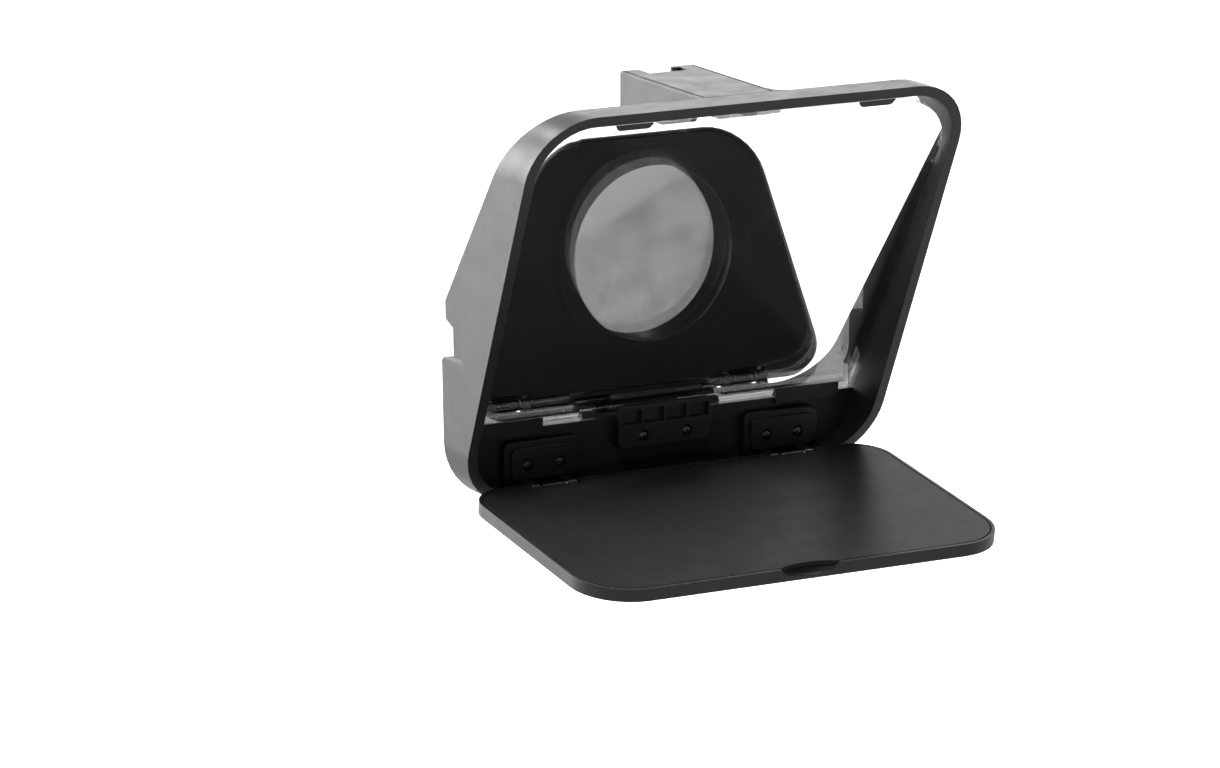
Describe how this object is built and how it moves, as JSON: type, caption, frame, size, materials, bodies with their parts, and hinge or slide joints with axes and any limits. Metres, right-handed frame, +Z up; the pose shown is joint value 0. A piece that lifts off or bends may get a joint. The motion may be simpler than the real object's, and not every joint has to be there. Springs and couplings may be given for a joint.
{
  "type": "teleprompter",
  "caption": "Folding camera teleprompter: a leaning hood with beam-splitter glass, a fold-up phone tray in front and a hinged lens board with an adapter ring behind.",
  "frame": {"origin": "on the lens axis, at the back face of the adapter ring", "axes": "+Y along the lens axis towards the camera, +X to the right seen from the presenter, +Z up"},
  "size_m": [0.196, 0.1458, 0.183],
  "materials": {
    "black_abs": "satin, fine texture",
    "tray_abs": "satin",
    "tray_plate": "satin",
    "hinge_nylon": "satin",
    "board_abs": "matt",
    "black_alloy": "black anodised",
    "steel": "plain",
    "screw_black": "blackened",
    "beam_splitter": "half-silvered"
  },
  "bodies": {
    "ring": {"adapter_ring": "black_alloy", "ring_keeper": "black_alloy"},
    "board": {"lens_board": "board_abs", "board_hinge_leaf": "black_alloy", "leaf_screw_left": "screw_black", "leaf_screw_right": "screw_black"},
    "hood": {"arm_screw_left": "screw_black", "arm_screw_right": "screw_black", "beam_splitter_glass": "beam_splitter", "block_screw_left_a": "screw_black", "block_screw_left_b": "screw_black", "block_screw_right_a": "screw_black", "block_screw_right_b": "screw_black", "board_hinge_pin": "steel", "centre_hinge_block": "hinge_nylon", "centre_screw_left": "screw_black", "centre_screw_right": "screw_black", "friction_washer_left": "steel", "friction_washer_right": "steel", "glass_clip_left": "black_abs", "glass_clip_right": "black_abs", "glass_foot_left": "black_abs", "glass_foot_right": "black_abs", "glass_rail_left": "hinge_nylon", "glass_rail_right": "hinge_nylon", "hood_frame": "black_abs", "rear_hinge_bracket": "black_alloy", "top_arm": "black_abs", "tray_hinge_block_left": "hinge_nylon", "tray_hinge_block_right": "hinge_nylon", "tray_hinge_pin_left": "steel", "tray_hinge_pin_right": "steel"},
    "tray": {"tray_hinge_leaf_left": "black_alloy", "tray_hinge_leaf_right": "black_alloy", "tray_shell": "tray_abs", "tray_top_plate": "tray_plate"}
  },
  "joints": [
    {"name": "ring_turn", "type": "hinge", "parent": "ring", "child": "board", "pos_m": [0, 0, 0], "axis": [0, 1, 0], "continuous": true},
    {"name": "hood_fold", "type": "hinge", "parent": "board", "child": "hood", "pos_m": [0, -0.0115, -0.066], "axis": [-1, 0, 0], "range_deg": [0, 24]},
    {"name": "tray_fold", "type": "hinge", "parent": "hood", "child": "tray", "pos_m": [0, -0.0322, -0.0882], "axis": [-1, 0, 0], "range_deg": [0, 73]}
  ]
}
